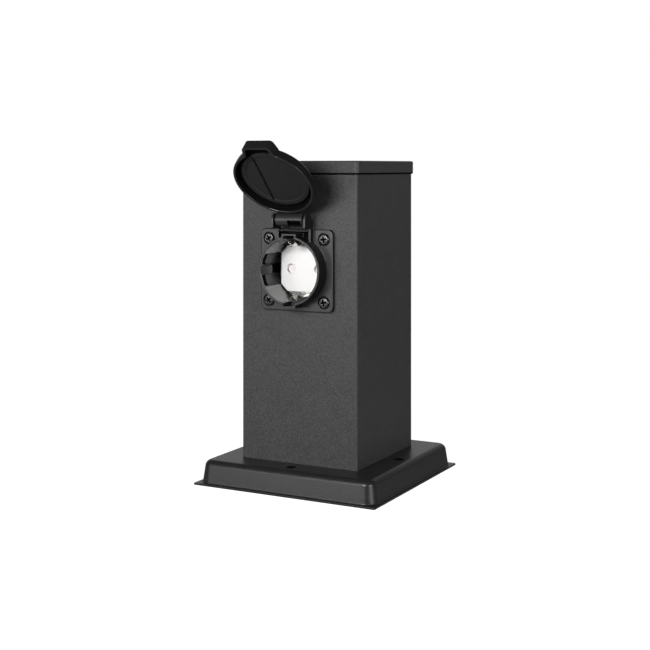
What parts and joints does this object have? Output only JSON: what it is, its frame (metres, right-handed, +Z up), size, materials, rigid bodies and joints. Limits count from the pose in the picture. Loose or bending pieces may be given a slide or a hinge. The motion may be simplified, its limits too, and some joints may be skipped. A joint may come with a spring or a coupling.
{
  "type": "garden socket post",
  "caption": "Square metal garden post on a pressed foot, with an earthed flange socket under a sprung hinged lid and its wiring inside.",
  "frame": {"origin": "centre of the foot on the ground plane", "axes": "+Z up the post, -Y out of the socket, +X to the right seen from the front"},
  "size_m": [0.124, 0.1539, 0.2117],
  "materials": {
    "post_coat": "fine-textured anthracite powder coat",
    "zinc_sheet": "galvanised sheet",
    "zinc_screw": "bright zinc",
    "dark_screw": "blackened steel",
    "spring_steel": "drawn spring steel",
    "seal_rubber": "matt elastomer",
    "black_plastic": "satin moulded black",
    "gland_plastic": "moulded black",
    "white_plastic": "white thermoplastic",
    "contact_brass": "stamped brass",
    "nickel_strip": "nickel-plated strip",
    "brown_wire": "brown wire insulation",
    "blue_wire": "blue wire insulation",
    "green_wire": "green and yellow wire insulation"
  },
  "bodies": {
    "post": {"foot_plate": "post_coat", "foot_bracket": "zinc_sheet", "foot_screws": "zinc_screw", "post_tube": "post_coat", "cap_seal": "seal_rubber", "top_cap": "post_coat", "flange_gasket": "seal_rubber", "socket_housing": "black_plastic", "flange_screws": "dark_screw", "flange_nuts": "zinc_screw", "contact_plate": "white_plastic", "shutter_spring": "spring_steel", "contact_carrier": "black_plastic", "line_contact": "contact_brass", "neutral_contact": "contact_brass", "earth_clip": "nickel_strip", "contact_screws": "zinc_screw", "socket_back": "black_plastic", "back_screws": "zinc_screw", "hinge_pin": "spring_steel", "line_wire": "brown_wire", "neutral_wire": "blue_wire", "earth_wire": "green_wire", "terminal_block": "white_plastic", "terminal_tubes": "contact_brass", "clamp_screws": "zinc_screw", "block_screws": "zinc_screw", "bond_screw": "zinc_screw", "bond_lug": "nickel_strip", "bond_wire": "green_wire", "gland_body": "gland_plastic", "gland_locknut": "gland_plastic", "gland_seal": "seal_rubber", "gland_dome": "gland_plastic"},
    "lid": {"lid_shell": "black_plastic", "lid_seal": "seal_rubber", "lid_spring": "spring_steel"},
    "shutter": {"shutter": "white_plastic"}
  },
  "joints": [
    {"name": "lid_hinge", "type": "hinge", "parent": "post", "child": "lid", "pos_m": [0, -0.0492, 0.1643], "axis": [1, 0, 0], "range_deg": [0, 135], "stiffness_Nm_per_rad": 0.02, "springref_deg": 159.86},
    {"name": "shutter_turn", "type": "hinge", "parent": "post", "child": "shutter", "pos_m": [0, -0.0282, 0.1335], "axis": [0, 1, 0], "range_deg": [0, 40], "stiffness_Nm_per_rad": 0.002, "springref_deg": -20.05}
  ]
}
